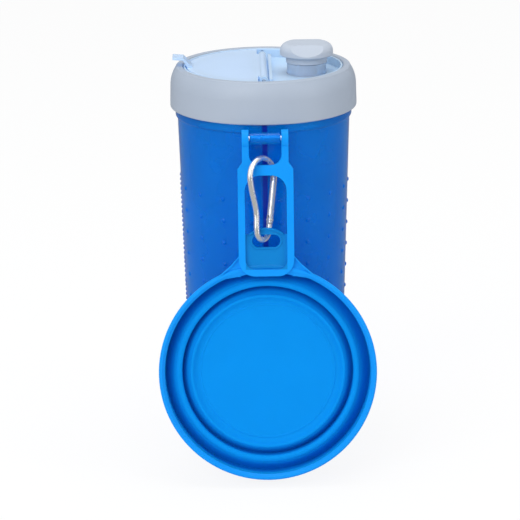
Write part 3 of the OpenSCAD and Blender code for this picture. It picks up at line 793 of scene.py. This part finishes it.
band_inside = make_top_band()
ring_inside, ring_outside = make_ring()
base_outside = ring_extent("bowl_base")[1]
make_web(
    "bowl_web_outer",
    "fold_web_outer",
    outer_inside=band_inside,
    inner_outside=ring_outside,
    outer_node="bowl_top_band",
    inner_node="fold_ring",
)
make_web(
    "bowl_web_inner",
    "fold_web_inner",
    outer_inside=ring_inside,
    inner_outside=base_outside,
    outer_node="fold_ring",
    inner_node="bowl_base",
)
make_base()
make_cup()

# ---------------------------------------------------------------- handle

hinge = Vector(joints["cup_swing"]["pos_m"])
down = Vector(joints["carabiner_turn"]["axis"]).normalized()
front = -bowl_axis


def on_handle(x, s, n):
    """A point of the hanging handle: sideways, down from the hinge and out from its middle plane."""
    return hinge + Vector((x, 0, 0)) + down * s + front * n


def make_tongue_edges():
    """Rolled edges round the tongue's hole and along its arch."""
    end_steps = 12
    arch_steps = 16
    end_radius = HOLE_HEIGHT / 2
    straight = HOLE_WIDTH / 2 - end_radius
    hole = []
    for side in (1, -1):
        for i in range(end_steps + 1):
            angle = side * math.pi / 2 - math.pi * i / end_steps
            x = side * straight + (end_radius + TONGUE_BEAD) * math.cos(angle)
            s = HOLE_S - (end_radius + TONGUE_BEAD) * math.sin(angle)
            hole.append(on_handle(x, s, TONGUE_FRONT))
    arch = []
    for i in range(arch_steps + 1):
        t = 2 * i / arch_steps - 1
        arch.append(on_handle(t * ARCH_HALF, ARCH_TOP_S + TONGUE_BEAD + ARCH_DROP * t * t, TONGUE_FRONT))
    shapes = [tube(hole, TONGUE_BEAD, closed=True), tube(arch, TONGUE_BEAD)]
    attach(new_piece("tongue_edges", *gather(shapes), cup_material, "cup"), "cup")


def make_carabiner():
    """The carabiner's bent rod. Its spine gets the slight S of the photograph, which sways most a little
    below the middle, and the rest is as in the CAD."""
    skew = 1.5
    gate_side = sum(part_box("carabiner_gate"), Vector()) / 2 - hinge
    gate_side -= down * gate_side.dot(down)
    gate_side.normalize()
    shape = bmesh.new()
    shape.from_mesh(nodes["carabiner_body"].data)
    length = SPINE_END_S - SPINE_START_S
    for i in range(SPINE_CUTS + 1):
        bmesh.ops.bisect_plane(
            shape,
            geom=shape.verts[:] + shape.edges[:] + shape.faces[:],
            plane_co=hinge + down * (SPINE_START_S + length * i / SPINE_CUTS),
            plane_no=down,
        )
    for vertex in shape.verts:
        offset = vertex.co - hinge
        t = (offset.dot(down) - SPINE_START_S) / length
        if 0 < t < 1 and offset.dot(gate_side) < 0:
            vertex.co += gate_side * SPINE_SWAY * math.sin(math.pi * t**skew) ** 2
    points = [vertex.co.copy() for vertex in shape.verts]
    faces = [tuple(vertex.index for vertex in face.verts) for face in shape.faces]
    shape.free()
    rod = new_piece("carabiner_rod", points, faces, steel_material, "steel")
    rod.data.set_sharp_from_angle(angle=math.radians(40))
    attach(rod, "carabiner")
    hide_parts("carabiner_body")


make_tongue_edges()
make_carabiner()

# ---------------------------------------------------------------- stage, light and camera


def make_camera():
    """The camera at the photograph's angle, distance and roll."""
    level = math.cos(CAMERA_ELEVATION)
    height = math.sin(CAMERA_ELEVATION)
    back = Vector((math.sin(CAMERA_AZIMUTH) * level, -math.cos(CAMERA_AZIMUTH) * level, height))
    right = Vector((math.cos(CAMERA_AZIMUTH), math.sin(CAMERA_AZIMUTH), 0))
    up = back.cross(right)
    rolled_right = right * math.cos(CAMERA_ROLL) + up * math.sin(CAMERA_ROLL)
    rolled_up = up * math.cos(CAMERA_ROLL) - right * math.sin(CAMERA_ROLL)
    data = bpy.data.cameras.new("camera")
    data.sensor_width = SENSOR_MM
    data.lens = FOCAL_PX / IMAGE_PX * SENSOR_MM
    data.clip_end = CAMERA_FAR_END
    camera = bpy.data.objects.new("camera", data)
    turn = Matrix((rolled_right, rolled_up, back)).transposed().to_4x4()
    camera.matrix_world = Matrix.Translation(CAMERA_TARGET + back * CAMERA_DISTANCE) @ turn
    bpy.context.scene.collection.objects.link(camera)
    bpy.context.scene.camera = camera


def floor_material():
    """Pale, nearly as white as the world behind it where the camera sees it, and dim in reflections."""
    white_share = 0.88
    made = Shader("floor_pale")
    lit = made.node("ShaderNodeBsdfDiffuse")
    made.fill(lit.inputs["Color"], made.mottled(FLOOR_PALE, amount=0.01, size=0.4))
    dim = made.node("ShaderNodeBsdfDiffuse")
    made.fill(dim.inputs["Color"], FLOOR_IN_REFLECTIONS)
    white = made.node("ShaderNodeEmission")
    white.inputs["Strength"].default_value = 1
    rays = made.node("ShaderNodeLightPath")
    share = made.calculate("MULTIPLY", made.seen(rays), white_share)
    pale = made.mix_shaders(share, lit.outputs["BSDF"], white.outputs["Emission"])
    return made.finish(made.mix_shaders(rays.outputs["Is Glossy Ray"], pale, dim.outputs["BSDF"]))


def make_floor():
    """A wide pale floor that nearly meets the white behind it and keeps the object's shadow."""
    half = 6.0
    corners = [(-half, -half, 0), (half, -half, 0), (half, half, 0), (-half, half, 0)]
    mesh = bpy.data.meshes.new("floor")
    mesh.from_pydata(corners, [], [(0, 1, 2, 3)])
    floor = bpy.data.objects.new("floor", mesh)
    bpy.context.scene.collection.objects.link(floor)
    paint(floor, floor_material())


def make_world():
    """White to the eye and through clear plastic, a soft grey-white fill for the light, and for reflections
    a room with a dim band at eye level."""
    world = bpy.data.worlds.new("studio")
    bpy.context.scene.world = world
    world.use_nodes = True
    made = Nodes(world.node_tree, "ShaderNodeOutputWorld")
    rays = made.node("ShaderNodeLightPath")
    direction = made.node("ShaderNodeSeparateXYZ")
    made.link(made.node("ShaderNodeTexCoord").outputs["Generated"], direction.inputs["Vector"])
    room = made.node("ShaderNodeValToRGB")
    stops = room.color_ramp.elements
    for position, _ in ROOM_GREYS[1:-1]:
        stops.new(position)
    for stop, (position, grey) in zip(stops, ROOM_GREYS):
        stop.position = position
        stop.color = (grey, grey, grey, 1)
    height = made.calculate("MULTIPLY_ADD", direction.outputs["Z"], 0.5, 0.5)
    made.link(height, room.inputs["Fac"])
    light = made.mix(rays.outputs["Is Glossy Ray"], FILL_LIGHT, room.outputs["Color"])
    background = made.node("ShaderNodeBackground")
    made.link(made.mix(made.seen(rays), light, WHITE), background.inputs["Color"])
    made.link(background.outputs["Background"], made.output.inputs["Surface"])


def place_lamp(name, data, place):
    """Puts a lamp at a place and turns it to the middle of the object."""
    middle = Vector((0, 0, 0.11))
    lamp = bpy.data.objects.new(name, data)
    lamp.location = place
    lamp.rotation_euler = (middle - Vector(place)).to_track_quat("-Z", "Y").to_euler()
    bpy.context.scene.collection.objects.link(lamp)


def make_lamps():
    """A soft key light from the front left, a softbox on either side and one above."""
    key = bpy.data.lights.new("key", "SUN")
    key.energy = 0.9
    key.angle = math.radians(35)
    place_lamp("key", key, (-0.55, -1.35, 1.15))
    softboxes = (
        ("softbox_left", (-0.9, -0.9, 0.5), 0.25, 0.9, 3),
        ("softbox_right", (1.0, -0.6, 0.45), 0.25, 0.9, 2),
        ("softbox_top", (0, 0, 1.4), 0.9, 0.9, 7),
    )
    for name, place, width, height, power in softboxes:
        box = bpy.data.lights.new(name, "AREA")
        box.shape = "RECTANGLE"
        box.size = width
        box.size_y = height
        box.energy = power
        place_lamp(name, box, place)


make_camera()
make_floor()
make_world()
make_lamps()
bpy.context.scene.view_settings.view_transform = "Standard"
